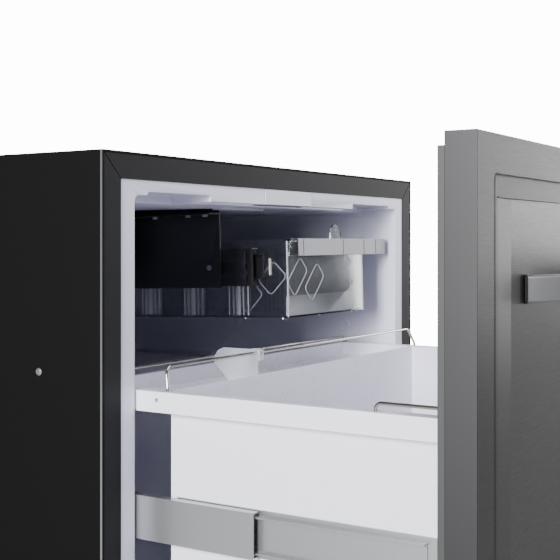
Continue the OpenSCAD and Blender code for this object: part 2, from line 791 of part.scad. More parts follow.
// White vacuum-formed back of the front
module inner_panel() {
    color("#dedee6") difference() {
        union() {
            box([-half_w + 1.1, panel_y - 0.9, panel_z0 + 1.1], [half_w - 1.1, panel_y, panel_z1 - 1.1]);
            box([-288, panel_y, panel_z0 + 15], [288, panel_y + 1, top - 15]);
            box([-268, panel_y + 1, panel_z0 + 34], [268, panel_y + 5.3, top - 34]);
        }
        box([-240, panel_y - 2, panel_z0 + 60], [240, panel_y + 2, top - 60]);
    }
}

// Magnetic gasket, a ring between the front and the cabinet's frame
module gasket() {
    y0 = panel_y + 1;
    color("#2a2a2d") difference() {
        box([-294, y0, panel_z0 + 10], [294, y0 + gasket_t - 1, top - 11]);
        box([-272, y0 - 1, panel_z0 + 29], [272, y0 + gasket_t, top - 29]);
        difference() {
            box([-288, y0 + 2, panel_z0 + 16], [288, y0 + 3.4, top - 17]);
            box([-278, y0 - 1, panel_z0 + 23], [278, y0 + gasket_t, top - 23]);
        }
    }
}

// Bowed bar handle that springs from the front at both ends
module handle() {
    sag = 34;
    base = panel_face + relief;
    r = (grip_l * grip_l + sag * sag) / (2 * sag);
    color("#77787a") intersection() {
        translate([0, base - sag + r, grip_z - 10.5]) difference() {
            cylinder(r = r, h = 21, $fn = 360);
            translate([0, 0, -1]) cylinder(r = r - 7, h = 23, $fn = 360);
        }
        box([-grip_l - 5, base - sag - 1, 0], [grip_l + 5, base, top]);
    }
}

// One-piece white drawer: deep part in front, shallow tray behind
module drawer_box() {
    t = drawer_t;
    color("#f2f2f6") difference() {
        union() {
            box([-rim_x, deep_y0, rim_z - rim_h], [rim_x, tray_y, rim_z]);
            box([-wall_x, deep_y0 + rim_w, deep_z], [wall_x, deep_y1, rim_z]);
        }
        box([-wall_x + t, deep_y0 + rim_w + t, deep_z + t], [wall_x - t, deep_y1 - t, top]);
        box([-wall_x + t, deep_y1, rim_z - rim_h + t], [wall_x - t, tray_y - t - 4, top]);
        both_sides() {
            box([wall_x, deep_y0 + rim_w + t, rim_z - rim_h - 1], [rim_x - t, deep_y1, rim_z - t]);
            translate([0, deep_y1 + 7, rim_z - 7.5]) rotate([0, 90, 0]) cylinder(r = 2, h = 300);
        }
    }
}

// Raised wire rail over the deep part's back wall
module rear_rail() {
    y = deep_y1 - t_rail;
    x = rim_x - 5;
    color("#b9bcc0") wire([[-x, y, rim_z], [-x, y, rim_z + 4], [-x, y + 4, rail_z],
        [x, y + 4, rail_z], [x, y, rim_z + 4], [x, y, rim_z]], wire_d, 2.5);
}

// Low wire rail along the tray's back edge
module tray_rail() {
    y = tray_y - 3.5;
    x = rim_x - 6;
    color("#b9bcc0") wire([[-x, y, rim_z], [-x, y, rim_z + 7], [x, y, rim_z + 7], [x, y, rim_z]],
        wire_d);
}

// Short low rails on the side rims, next to the front
module side_rails() {
    x = rim_x - 4;
    color("#b9bcc0") both_sides() wire([[x, deep_y0 + 74, rim_z], [x, deep_y0 + 74, rim_z + 7],
        [x, deep_y0 + 6, rim_z + 7], [x, deep_y0 + 6, rim_z]], wire_d);
}

// Clear divider that hangs on the rear rail
module rail_divider() {
    x = -104;
    y = deep_y1 - t_rail;
    color("#cdd6dd", 0.6) difference() {
        union() {
            translate([x, deep_y1, rail_z]) rotate([90, 0, 90]) linear_extrude(2.4)
                polygon([[1, 3], [42, 3], [49, 0], [53, -6], [53, -14], [36, -30], [1, -30]]);
            box([x - 1, deep_y1 - 3, rail_z - 8], [x + 6, deep_y1 + 6, rail_z + 4]);
        }
        translate([x - 10, y + 4, rail_z]) rotate([0, 90, 0]) cylinder(d = wire_d + 0.2, h = 30);
    }
}

module drawer_slide_pair() {
    for (m = [0, 1]) mirror([m, 0, 0]) translate([open_x, 0, slide_z]) mirror([1, 0, 0]) children();
}
module drawer_slides_outer() {
    color("#9da0a3") drawer_slide_pair() translate([0, slide_y, 0]) difference() {
        outer_member(slide_h, slide_l);
        for (y = [24, 180, 340]) translate([-1, y, 0]) rotate([0, 90, 0]) cylinder(r = 2.2, h = 4);
    }
}
module drawer_slides_middle() {
    color("#9da0a3") drawer_slide_pair() translate([0, slide_y - drawer_open / 2, 0])
        middle_member(slide_h, slide_l);
}

// Inner members with the angles that tie the drawer box to the front
module drawer_slides_inner() {
    color("#9da0a3") drawer_slide_pair() {
        translate([0, slide_y - drawer_open, 0]) inner_member(slide_h, slide_l);
        box([slide_t, deep_y0 + 1.5, -20], [slide_t + 2, deep_y1 - 8, 20]);
        box([-4, deep_y0, -20], [slide_t + 2, deep_y0 + 1.5, 20]);
    }
}

outer_case();
case_back();
case_base();
rubber_feet();
side_screws();
front_frame();
foam_body();
liner();
wall_plugs();
centre_cover();
lamp_lens();
bin_bracket_left();
bin_bracket_right();
bracket_screws();
bin_slides_outer();
bin_slides_middle();
bin_slides_inner();
ice_bin();
bin_front_band();
bin_front_plate();
ice_scoop();
ice_mould();
mould_heater();
mould_bracket();
ice_rake();
gear_housing();
gear_motor();
bail_arm();
ice_chute();
fill_cup();
fill_tube();
water_valve();
evaporator();
evaporator_cover();
evaporator_fan();
evaporator_fan_motor();
compressor();
compressor_mounts();
condenser();
condenser_fan();
condenser_fan_motor();
filter_drier();
refrigerant_lines();
drip_pan();
drain_tube();
control_box();
rear_grille();
front_skin();
front_core();
inner_panel();
gasket();
handle();
drawer_box();
rear_rail();
tray_rail();
side_rails();
rail_divider();
drawer_slides_outer();
drawer_slides_middle();
drawer_slides_inner();
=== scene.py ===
# %% [markdown]
# # A built-in freezer drawer with an ice maker
# The real appliance is a black steel cabinet with a white plastic liner. A full-width
# drawer runs out of its lower half, and a clear ice bin hangs on black slides under the
# ceiling. The measured frame is loaded first, so that every piece made here is put where
# the engineering model says, and moves with the body that carries it.

# %% Load the frame
import json
import math

import bmesh
import bpy
from mathutils import Matrix, Vector


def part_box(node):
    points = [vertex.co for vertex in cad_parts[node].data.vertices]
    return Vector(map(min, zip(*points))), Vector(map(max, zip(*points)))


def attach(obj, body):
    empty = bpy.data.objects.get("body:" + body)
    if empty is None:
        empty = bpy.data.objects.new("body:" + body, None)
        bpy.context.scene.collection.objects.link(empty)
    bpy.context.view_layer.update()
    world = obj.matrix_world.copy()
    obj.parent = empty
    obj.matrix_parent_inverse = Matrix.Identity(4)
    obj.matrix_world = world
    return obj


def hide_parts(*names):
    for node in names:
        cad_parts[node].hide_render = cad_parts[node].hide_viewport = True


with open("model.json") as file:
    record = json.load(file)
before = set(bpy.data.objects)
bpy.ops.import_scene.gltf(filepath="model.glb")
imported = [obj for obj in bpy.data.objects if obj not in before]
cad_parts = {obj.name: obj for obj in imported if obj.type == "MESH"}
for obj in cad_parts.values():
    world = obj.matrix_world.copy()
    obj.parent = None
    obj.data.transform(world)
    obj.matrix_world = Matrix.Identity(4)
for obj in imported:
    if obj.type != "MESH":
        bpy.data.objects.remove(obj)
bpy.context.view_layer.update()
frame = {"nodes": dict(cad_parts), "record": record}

# %% [markdown]
# ## Camera
# A product shot of a drawer is taken level, from a little below the cabinet's top and
# well to its left. A level camera keeps upright edges upright. The lens shift then frames
# the picture lower without tilting the camera, as a view camera's rising front does.

# %% Camera
camera_data = bpy.data.cameras.new("camera")
camera_data.lens = 69.74
camera_data.sensor_width = 36
camera_data.shift_y = -0.07
camera = bpy.data.objects.new("camera", camera_data)
camera.location = (-0.9952, -0.6208, 0.4519)
camera.rotation_euler = (math.radians(90), 0, math.radians(-57.52))
bpy.context.collection.objects.link(camera)
bpy.context.scene.camera = camera
print("camera at", tuple(camera.location))

# %% [markdown]
# ## Floor and light
# Studio light for a glossy white liner beside matt black steel has to be broad, or the
# plastic shows hard hot spots. Four soft boxes do that. The one on the left stands almost
# level with the opening, so it grazes past the frame: the near strip of the far wall is
# bright and the depth of the cabinet stays dark. The one on the right is there for the
# brushed front, which mirrors it. The camera sees a white surround that lights nothing.

# %% Floor, surround and soft boxes
def srgb(code, alpha=1.0):
    parts = [int(code[i:i + 2], 16) / 255 for i in (1, 3, 5)]
    linear = [c / 12.92 if c <= 0.04045 else ((c + 0.055) / 1.055) ** 2.4 for c in parts]
    return (*linear, alpha)


def soft_box(name, place, aim, size, watts):
    data = bpy.data.lights.new(name, "AREA")
    data.shape = "RECTANGLE"
    data.size, data.size_y = size
    data.energy = watts
    lamp = bpy.data.objects.new(name, data)
    lamp.location = place
    lamp.rotation_euler = (Vector(aim) - Vector(place)).to_track_quat("-Z", "Y").to_euler()
    bpy.context.collection.objects.link(lamp)


fill_strength, backdrop_strength = 0.14, 14.0
world = bpy.data.worlds.new("studio")
world.use_nodes = True
sky = world.node_tree
sky.nodes["Background"].inputs["Color"].default_value = srgb("#f2f4ff")
sky.nodes["Background"].inputs["Strength"].default_value = fill_strength
backdrop = sky.nodes.new("ShaderNodeBackground")
backdrop.inputs["Color"].default_value = srgb("#ffffff")
backdrop.inputs["Strength"].default_value = backdrop_strength
seen = sky.nodes.new("ShaderNodeLightPath")
choose = sky.nodes.new("ShaderNodeMixShader")
sky.links.new(seen.outputs["Is Camera Ray"], choose.inputs[0])
sky.links.new(sky.nodes["Background"].outputs[0], choose.inputs[1])
sky.links.new(backdrop.outputs[0], choose.inputs[2])
sky.links.new(choose.outputs[0], sky.nodes["World Output"].inputs["Surface"])
bpy.context.scene.world = world
soft_box("left_box", (-2.4, -0.32, 0.95), (0.1, -0.1, 0.35), (0.6, 1.0), 134)
soft_box("right_box", (2.6, -0.8, 0.8), (-0.1, -0.35, 0.4), (1.0, 1.2), 34)
soft_box("top_box", (0.1, -0.75, 2.4), (0, -0.2, 0.4), (1.8, 0.8), 34)
soft_box("front_box", (0.7, -3.0, 1.3), (0.3, -0.3, 0.35), (1.6, 1.6), 38)

floor_shape = bmesh.new()
bmesh.ops.create_circle(floor_shape, cap_ends=True, segments=96, radius=2.2)
floor_mesh = bpy.data.meshes.new("floor")
floor_shape.to_mesh(floor_mesh)
floor_shape.free()
floor = bpy.data.objects.new("floor", floor_mesh)
bpy.context.collection.objects.link(floor)
print("stage: one floor, four soft boxes")

# %% [markdown]
# ## Making finishes
# Every finish is a Principled shader with a small pattern on it. One function adds a node
# with its settings and links, one starts a finish, and one lays a fine surface over it:
# noise of a real grain size, stretched along the rolling or brushing direction, that
# moves both the height and the gloss a little.

# %% Node and finish helpers
def add(tree, kind, links=None, values=None, **settings):
    node = tree.nodes.new(kind)
    for key, value in settings.items():
        setattr(node, key, value)
    for key, value in (values or {}).items():
        node.inputs[key].default_value = value
    for key, source in (links or {}).items():
        tree.links.new(source, node.inputs[key])
    return node


def start_finish(name, colour, roughness, metallic=0.0, **more):
    material = bpy.data.materials.new(name)
    material.use_nodes = True
    shader = material.node_tree.nodes["Principled BSDF"]
    shader.inputs["Base Color"].default_value = srgb(colour)
    shader.inputs["Roughness"].default_value = roughness
    shader.inputs["Metallic"].default_value = metallic
    for key, value in more.items():
        shader.inputs[key.replace("_", " ")].default_value = value
    return material


def place_mm(tree, stretch=(1, 1, 1)):
    where = add(tree, "ShaderNodeTexCoord")
    return add(tree, "ShaderNodeMapping", {"Vector": where.outputs["Object"]},
               {"Scale": [1000 / s for s in stretch]})


def surface(material, grain_mm, depth_mm, gloss_change=0.06, stretch=(1, 1, 1), detail=4.0):
    tree = material.node_tree
    shader = tree.nodes["Principled BSDF"]
    at = place_mm(tree, [grain_mm * s for s in stretch])
    grain = add(tree, "ShaderNodeTexNoise", {"Vector": at.outputs["Vector"]},
                {"Scale": 1.0, "Detail": detail, "Roughness": 0.55})
    rough = shader.inputs["Roughness"].default_value
    spread = add(tree, "ShaderNodeMapRange", {"Value": grain.outputs[0]},
                 {"From Min": 0.25, "From Max": 0.75, "To Min": max(0.02, rough - gloss_change),
                  "To Max": rough + gloss_change})
    bump = add(tree, "ShaderNodeBump", {"Height": grain.outputs[0]},
               {"Strength": 1.0, "Distance": depth_mm / 1000})
    tree.links.new(spread.outputs["Result"], shader.inputs["Roughness"])
    tree.links.new(bump.outputs["Normal"], shader.inputs["Normal"])
    return material


def two_tone(material, colour_a, colour_b, patch_mm, pattern="ShaderNodeTexNoise"):
    tree = material.node_tree
    at = place_mm(tree, (patch_mm,) * 3)
    patches = add(tree, pattern, {"Vector": at.outputs["Vector"]}, {"Scale": 1.0})
    mix = add(tree, "ShaderNodeMix", {"Factor": patches.outputs[0]}, data_type="RGBA")
    mix.inputs[6].default_value = srgb(colour_a)
    mix.inputs[7].default_value = srgb(colour_b)
    tree.links.new(mix.outputs[2], tree.nodes["Principled BSDF"].inputs["Base Color"])
    return material


studio_paint = start_finish("grey_studio_floor", "#a4a4a4", 0.9)
floor_mesh.materials.append(studio_paint)

# %% [markdown]
# ## Finishes of the sheet metal
# The case is powder coated, a matt film with the faint orange peel of melted powder. The
# front is brushed stainless steel, tinted dark: fine scratches run across its width. The
# frame round the opening is bead-blasted steel, darker and matter. Slides carry thin black
# e-coat, and the bin's bracket a satin paint. Hidden sheet is galvanised, with the zinc's
# crystals as large as a fingernail.

# %% Sheet metal finishes
powder_black = surface(start_finish("powder_coat_black", "#060607", 0.7, Specular_IOR_Level=0.12),
                       0.9, 0.012)
blasted_steel = surface(start_finish("bead_blasted_steel", "#1d1d1f", 0.6, 0.35,
                                     Specular_IOR_Level=0.2), 0.5, 0.004)
brushed_dark = surface(start_finish("brushed_dark_stainless", "#414142", 0.46, 0.9),
                       0.25, 0.003, 0.07, (60, 1, 1))
# Brushed steel of the handle; also the painted highlight down the case's front corner.
brushed_light_and_edge_highlight = surface(start_finish("brushed_stainless_and_painted_highlight", "#a6a6a8", 0.34, 0.9),
                        0.22, 0.002, 0.06, (60, 1, 1))
e_coat = surface(start_finish("black_e_coat", "#232327", 0.36), 0.7, 0.004)
bracket_black = surface(start_finish("satin_black_paint", "#222328", 0.5), 0.9, 0.008)
galvanised = surface(two_tone(start_finish("galvanised_steel", "#9a9c9f", 0.42, 0.8),
                              "#8d8f92", "#a9abad", 9, "ShaderNodeTexVoronoi"), 2.5, 0.003)
zinc_plate = surface(start_finish("zinc_plated_steel", "#b4b6b8", 0.34, 0.9), 0.6, 0.002)
polished = surface(start_finish("polished_stainless_wire", "#bdb8b2", 0.16, 1.0), 1.6, 0.002, 0.04)

# %% [markdown]
# ## Finishes of the plastics
# The liner is vacuum-formed polystyrene, so it has a soft sheen and a slow waviness from
# the mould. The drawer is injection moulded and a little glossier. The bin is clear
# styrene-acrylonitrile: refraction 1.57 and hardly any roughness. Its front is frosted and
# its beads are hazy. The pale lines on its ribs and corners are painted highlights in a
# paler, milky finish.

# %% Plastic finishes
liner_white = surface(start_finish("vacuum_formed_polystyrene", "#dedeee", 0.36), 14, 0.05, 0.05)
drawer_white = surface(start_finish("moulded_polypropylene_white", "#e9e9f5", 0.3), 9, 0.02, 0.05)
cover_white = surface(start_finish("moulded_abs_white", "#dadae6", 0.38), 1.2, 0.006)
hose_white = surface(start_finish("extruded_polyethylene", "#d9dad9", 0.42), 3, 0.01)
acetal = surface(start_finish("moulded_acetal", "#dcd8c8", 0.34), 2, 0.006)
black_plastic = surface(start_finish("moulded_black_abs", "#222224", 0.5), 0.7, 0.01)
soft_grey = surface(start_finish("soft_pvc_gasket", "#343635", 0.5), 1.5, 0.01)
# Painted shade: dark lines in the front's creases and at the handle's ends; also the dark seams of
# the bin's band.
painted_shade_and_seam_black = surface(start_finish("painted_shade_and_dark_seams", "#17171a", 0.4, 0.6), 0.6, 0.002)
black_rubber = surface(start_finish("moulded_rubber", "#161616", 0.72), 1.0, 0.02)
clear = surface(start_finish("clear_styrene", "#f4f7f8", 0.05, IOR=1.57), 6, 0.01, 0.02)
clear.node_tree.nodes["Principled BSDF"].inputs["Transmission Weight"].default_value = 1.0
frosted = surface(start_finish("frosted_styrene", "#aeaeb4", 0.5, IOR=1.57), 0.8, 0.01)
frosted.node_tree.nodes["Principled BSDF"].inputs["Transmission Weight"].default_value = 0.15
thick_frosted = surface(start_finish("frosted_styrene_thick", "#e2e2e8", 0.5, IOR=1.57), 0.8, 0.01)
hazy = surface(start_finish("hazy_styrene", "#c4c4d2", 0.3, IOR=1.57), 2, 0.006)
hazy.node_tree.nodes["Principled BSDF"].inputs["Transmission Weight"].default_value = 0.35
# Painted highlight: a paler, milky plastic for the pale lines on the bin's ribs and corners.
painted_rib_highlight = surface(start_finish("painted_rib_highlight_styrene", "#f4f4f8", 0.22, IOR=1.57), 2, 0.004)
painted_rib_highlight.node_tree.nodes["Principled BSDF"].inputs["Transmission Weight"].default_value = 0.35
cloudy = surface(start_finish("cloudy_polycarbonate", "#eef0f6", 0.16, IOR=1.58), 3, 0.006)
cloudy.node_tree.nodes["Principled BSDF"].inputs["Transmission Weight"].default_value = 0.72
opal = surface(start_finish("opal_lamp_lens", "#f6f8ff", 0.45, IOR=1.49), 1, 0.004)
opal.node_tree.nodes["Principled BSDF"].inputs["Transmission Weight"].default_value = 0.4

# %% [markdown]
# ## Finishes of the cooling works
# Copper pipe darkens in patches where it was brazed. Coils and the ice mould are bare or
# cast aluminium. The compressor is dipped in black enamel. Cut polyurethane foam shows
# closed cells under a millimetre wide.

# %% Works finishes
copper = surface(two_tone(start_finish("drawn_copper", "#b87a55", 0.32, 1.0),
                          "#c2845c", "#8f5b40", 22), 1.5, 0.002)
bare_aluminium = surface(start_finish("bare_aluminium", "#b9bdc0", 0.36, 1.0), 0.8, 0.003)
cast_aluminium = surface(start_finish("cast_aluminium", "#9b9ea1", 0.5, 0.9), 1.4, 0.02)
enamel = surface(start_finish("black_enamel", "#121213", 0.2), 8, 0.02, 0.04)
foam = surface(two_tone(start_finish("polyurethane_foam", "#e0d2a2", 0.85),
                        "#e6d9ab", "#cdbc86", 12), 0.9, 0.12)
# Sheath of the mould heater; also the painted highlight on the front end faces of the slides and the
# bracket.
heater_and_edge_highlight = surface(start_finish("heater_sheath", "#6e6a66", 0.45, 0.8), 1, 0.004)
print("finishes:", len(bpy.data.materials))

# %% [markdown]
# ## Softening the engineering pieces
# An engineering model has mathematically sharp edges, and no pressed, folded or moulded
# edge is. A copy of each piece has its loose triangles joined, its flat faces dissolved
# into one, and a small bevel of the radius that its making leaves. The light then
# catches each edge as a thin line.

# %% Softened copies
def joined_mesh(node):
    mesh = frame["nodes"][node].data.copy()
    mesh.name = node + "_soft"
    work = bmesh.new()
    work.from_mesh(mesh)
    bmesh.ops.remove_doubles(work, verts=work.verts, dist=0.00001)
    bmesh.ops.dissolve_limit(work, angle_limit=math.radians(0.5), verts=work.verts,
                             edges=work.edges)
    work.to_mesh(mesh)
    work.free()
    return mesh


def belongs(obj, node):
    body = next(n for n, members in frame["record"]["behaviour"]["bodies"].items()
                if node in members)
    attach(obj, body)


def adopt(obj, node, finish):
    obj.data.materials.clear()
    obj.data.materials.append(finish)
    belongs(obj, node)
    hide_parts(node)


def made_from(shape, name, finish):
    mesh = bpy.data.meshes.new(name)
    shape.to_mesh(mesh)
    shape.free()
    mesh.materials.append(finish)
    obj = bpy.data.objects.new(name, mesh)
    bpy.context.collection.objects.link(obj)
    return obj


def soften(node, finish, radius_mm, steps=2, sharp_deg=35):
    obj = bpy.data.objects.new(node + "_made", joined_mesh(node))
    bpy.context.collection.objects.link(obj)
    bevel = obj.modifiers.new("edge", "BEVEL")
    bevel.width = radius_mm / 1000
    bevel.segments = steps
    bevel.limit_method = "ANGLE"
    bevel.angle_limit = math.radians(40)
    bevel.harden_normals = True
    bevel.miter_outer = "MITER_ARC"
    for face in obj.data.polygons:
        face.use_smooth = True
    obj.data.set_sharp_from_angle(angle=math.radians(sharp_deg))
    adopt(obj, node, finish)
    return obj


softened = {
    "case_back": (galvanised, 0.3),
    "front_frame": (blasted_steel, 0.25), "liner": (liner_white, 1.1),
    "wall_plugs": (liner_white, 0.4), "centre_cover": (cover_white, 0.6),
    "lamp_lens": (opal, 0.5), "bin_bracket_left": (bracket_black, 0.5),
    "bin_bracket_right": (cover_white, 0.5), "bin_slides_outer": (e_coat, 0.4),
    "bin_slides_middle": (e_coat, 0.4), "bin_slides_inner": (e_coat, 0.4),
    "ice_bin": (clear, 0.5), "bin_front_band": (frosted, 0.7), "bin_front_plate": (frosted, 0.3),
    "ice_scoop": (clear, 0.6), "ice_mould": (cast_aluminium, 0.5),
    "gear_housing": (cover_white, 0.6), "ice_chute": (cover_white, 0.4),
    "fill_cup": (cover_white, 0.4), "water_valve": (cover_white, 0.8),
    "evaporator_cover": (liner_white, 0.5), "compressor": (enamel, 1.5),
    "control_box": (black_plastic, 0.8), "rear_grille": (galvanised, 0.25),
    "front_skin": (brushed_dark, 0.5, 2, 1), "inner_panel": (drawer_white, 0.4),
    "gasket": (soft_grey, 0.5), "handle": (brushed_light_and_edge_highlight, 2.6), "drawer_box": (drawer_white, 1.0),
    "rail_divider": (cloudy, 0.5), "drip_pan": (black_plastic, 0.6),
}
made = {node: soften(node, *how) for node, how in softened.items()}
print("softened:", len(made))

# %% [markdown]
# ## Second finishes
# The front end faces of the slides and the bracket take a paler metal: a painted highlight,
# a pale outline where the light catches their edges. The clear bin is hazy on its far wall,
# where the mould is textured. Its front plate is thicker, so paler, near the bottom, and the
# front band is clear at its near end. The gasket sits on a strip of black rubber. These are
# two finishes on one piece, so the mesh is cut where they meet, and faces are chosen by
# where they are.

# %% Painted edge highlights, hazy wall, thick band
bin_pitch_deg = 1.7
pitch = Matrix.Rotation(math.radians(-bin_pitch_deg), 4, "X")
hinge = Vector((0, 0.012, 0.367))
pitched = Matrix.Translation(hinge) @ pitch @ Matrix.Translation(-hinge)


def second_finish(obj, finish, chosen):
    obj.data.materials.append(finish)
    for face in obj.data.polygons:
        if chosen(face):
            face.material_index = 1


def cut_mesh(obj, point, normal):
    work = bmesh.new()
    work.from_mesh(obj.data)
    bmesh.ops.bisect_plane(work, geom=work.verts[:] + work.edges[:] + work.faces[:],
                           plane_co=pitched @ Vector(point), plane_no=pitch @ Vector(normal))
    work.to_mesh(obj.data)
    work.free()


# Painted highlight: the front end faces of the slides and the bracket take a paler metal.
for node in ("bin_slides_outer", "bin_slides_middle", "bin_bracket_left"):
    second_finish(made[node], heater_and_edge_highlight, lambda face: face.normal.y < -0.9)
far_wall_x, thick_top_z, clear_end_x, strip = 0.186, 0.391, 0.032, 0.0012
second_finish(made["ice_bin"], hazy,
              lambda face: face.center.x > far_wall_x and abs(face.normal.x) > 0.9)
cut_mesh(made["bin_front_plate"], (0, 0.015, thick_top_z), (0, 0, 1))
second_finish(made["bin_front_plate"], thick_frosted,
              lambda face: (pitched.inverted() @ face.center).z < thick_top_z)
cut_mesh(made["bin_front_band"], (clear_end_x, 0, 0.44), (1, 0, 0))
second_finish(made["bin_front_band"], clear, lambda face: face.center.x < clear_end_x)
gasket_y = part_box("gasket")[0][1]
second_finish(made["gasket"], black_rubber, lambda face: face.center.y < gasket_y + strip)
print("second finishes: 7 pieces")

# %% [markdown]
# ## A painted highlight on the edge of the case
# A bright line runs down the case's rounded front corner, next to the frame: a painted
# highlight where the light catches the corner. The case's mesh is cut a little over 2 mm
# behind the front, and the side faces in front of the cut take brushed steel as this
# painted highlight.

# %% Case with its painted edge highlight
case = soften("outer_case", powder_black, 0.4)
# Painted highlight: a strip of brushed steel on the case's sides, just behind the front.
case.data.materials.append(brushed_light_and_edge_highlight)
highlight_from, highlight_to, side_x = 0.0006, 0.0027, 0.299
edge_strip = bmesh.new()
edge_strip.from_mesh(case.data)
for depth in (highlight_from, highlight_to):
    bmesh.ops.bisect_plane(edge_strip, plane_co=(0, depth, 0), plane_no=(0, 1, 0),
                           geom=edge_strip.verts[:] + edge_strip.edges[:] + edge_strip.faces[:])
for face in edge_strip.faces:
    centre = face.calc_center_median()
    on_side = abs(face.normal.x) > 0.9 and abs(centre.x) > side_x
    if on_side and highlight_from < centre.y < highlight_to:
        face.material_index = 1
edge_strip.to_mesh(case.data)
edge_strip.free()
print("case faces:", len(case.data.polygons))

# %% [markdown]
# ## Bent wire rails
# The drawer's rails are 3 mm stainless wire, bent cold over a pin, so every corner is a
# round arc. A Geometry Nodes tree does the same to a bare polyline: it rounds the
# corners, sweeps a circle along the line, and sets the material.

# %% A tree that bends wire
def new_tree(name, *inputs):
    tree = bpy.data.node_groups.new(name, "GeometryNodeTree")
    tree.interface.new_socket("Geometry", in_out="INPUT", socket_type="NodeSocketGeometry")
    for label, kind, value in inputs:
        socket = tree.interface.new_socket(label, in_out="INPUT", socket_type="NodeSocket" + kind)
        if value is not None:
            socket.default_value = value
    tree.interface.new_socket("Geometry", in_out="OUTPUT", socket_type="NodeSocketGeometry")
    return tree, tree.nodes.new("NodeGroupInput"), tree.nodes.new("NodeGroupOutput")


def made_plain(obj, tree, **values):
    modifier = obj.modifiers.new(tree.name, "NODES")
    modifier.node_group = tree
    for item in tree.interface.items_tree:
        if item.item_type == "SOCKET" and item.in_out == "INPUT" and item.name in values:
            modifier[item.identifier] = values[item.name]
    shape = obj.evaluated_get(bpy.context.evaluated_depsgraph_get())
    mesh = bpy.data.meshes.new_from_object(shape)
    obj.modifiers.clear()
    obj.data = mesh
    return obj


def rounded_corners(tree, curve, steps):
    node = add(tree, "GeometryNodeFilletCurve", {"Curve": curve})
    if "Mode" in node.inputs:
        node.inputs["Mode"].default_value = "Poly"
    else:
        node.mode = "POLY"
    node.inputs["Count"].default_value = steps
    return node


wire_tree, given, result = new_tree("bent_wire", ("Thickness", "Float", 0.003),
                                    ("Bend", "Float", 0.008), ("Finish", "Material", None))
line = add(wire_tree, "GeometryNodeMeshToCurve", {"Mesh": given.outputs["Geometry"]})
rounded = rounded_corners(wire_tree, line.outputs["Curve"], 7)
wire_tree.links.new(given.outputs["Bend"], rounded.inputs["Radius"])
halved = add(wire_tree, "ShaderNodeMath", {0: given.outputs["Thickness"]}, {1: 0.5},
           operation="MULTIPLY")
ring = add(wire_tree, "GeometryNodeCurvePrimitiveCircle", {"Radius": halved.outputs[0]},
           {"Resolution": 14})
swept = add(wire_tree, "GeometryNodeCurveToMesh",
            {"Curve": rounded.outputs["Curve"], "Profile Curve": ring.outputs["Curve"]},
            {"Fill Caps": True})
smooth = add(wire_tree, "GeometryNodeSetShadeSmooth", {"Geometry": swept.outputs["Mesh"]})
real = add(wire_tree, "GeometryNodeRealizeInstances", {"Geometry": smooth.outputs["Geometry"]})
coated = add(wire_tree, "GeometryNodeSetMaterial",
             {"Geometry": real.outputs["Geometry"], "Material": given.outputs["Finish"]})
wire_tree.links.new(coated.outputs["Geometry"], result.inputs["Geometry"])


wire_mm = 3
half = wire_mm / 2


def bent_wire(name, lines, bend_mm, thick_mm=wire_mm, finish=polished):
    points, edges = [], []
    for one in lines:
        edges += [(len(points) + i, len(points) + i + 1) for i in range(len(one) - 1)]
        points += [tuple(c / 1000 for c in p) for p in one]
    mesh = bpy.data.meshes.new(name)
    mesh.from_pydata(points, edges, [])
    obj = bpy.data.objects.new(name, mesh)
    bpy.context.collection.objects.link(obj)
    return made_plain(obj, wire_tree, Thickness=thick_mm / 1000, Bend=bend_mm / 1000,
                      Finish=finish)


# %% The drawer's rails
low, high = (Vector(c) * 1000 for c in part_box("rear_rail"))
side, foot, crest = high.x - half, low.z, high.z - half
front, back, stub, lean_left, lean_right = low.y + half, high.y - half, 3, 3, 11
rear = [[(-side, front, foot), (-side, front, foot + stub), (lean_left - side, back, crest),
         (side - lean_right, back, crest), (side, front, foot + stub), (side, front, foot)]]
adopt(bent_wire("rear_rail_made", rear, 9), "rear_rail", polished)

low, high = (Vector(c) * 1000 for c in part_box("tray_rail"))
side, y, rise = high.x - half, (low.y + high.y) / 2, 7
tray = [[(-side, y, low.z), (-side, y, low.z + rise), (side, y, low.z + rise), (side, y, low.z)]]
adopt(bent_wire("tray_rail_made", tray, 5), "tray_rail", polished)

low, high = (Vector(c) * 1000 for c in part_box("side_rails"))
side, front, back = high.x - half, low.y + half, high.y - half
pair = [[(m * side, back, low.z), (m * side, back, low.z + rise),
         (m * side, front, low.z + rise), (m * side, front, low.z)] for m in (-1, 1)]
adopt(bent_wire("side_rails_made", pair, 5), "side_rails", polished)

low, high = (Vector(c) * 1000 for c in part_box("bail_arm"))
bail_mm, pivot = 2.4, 11
x, z, y0, y1 = low.x + bail_mm / 2, high.z - bail_mm / 2, low.y + pivot, high.y - pivot
arm = [[(x, low.y, z), (x, y0, z), (x + 50, y0, z - 3), (x + 54, y0, z - 22),
        (x + 54, y1, z - 22), (x + 50, y1, z - 3), (x, y1, z), (x, high.y, z)]]
adopt(bent_wire("bail_arm_made", arm, 5, bail_mm), "bail_arm", polished)
print("rails bent: 5 wires")

# %% [markdown]
# ## Painted shade in the creases of the front
# The steel front is pressed over a former. A fine dark line of painted shade lies along each
# crease: round the sunk field, and across its top where the field slopes in. A dark rounded
# block of painted shade sits at each end of the handle.

# %% Painted shade lines in the creases and at the handle ends
low, high = (Vector(c) * 1000 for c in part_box("front_skin"))
field, slope = 267, 256
flush, sunk, bottom, peak, line_z = low.y + 0.3, low.y + 2.2, low.z + 29, high.z - 28.4, high.z - 45.2
# Painted shade: a fine dark line along each crease of the front.
creases = [[(-field, flush, bottom), (-field, flush, peak), (field, flush, peak),
            (field, flush, bottom), (5 - field, flush, bottom)],
           [(-slope, sunk, line_z), (slope, sunk, line_z)]]
belongs(bent_wire("front_crease_shade", creases, 4, 1.1, painted_shade_and_seam_black), "front_skin")

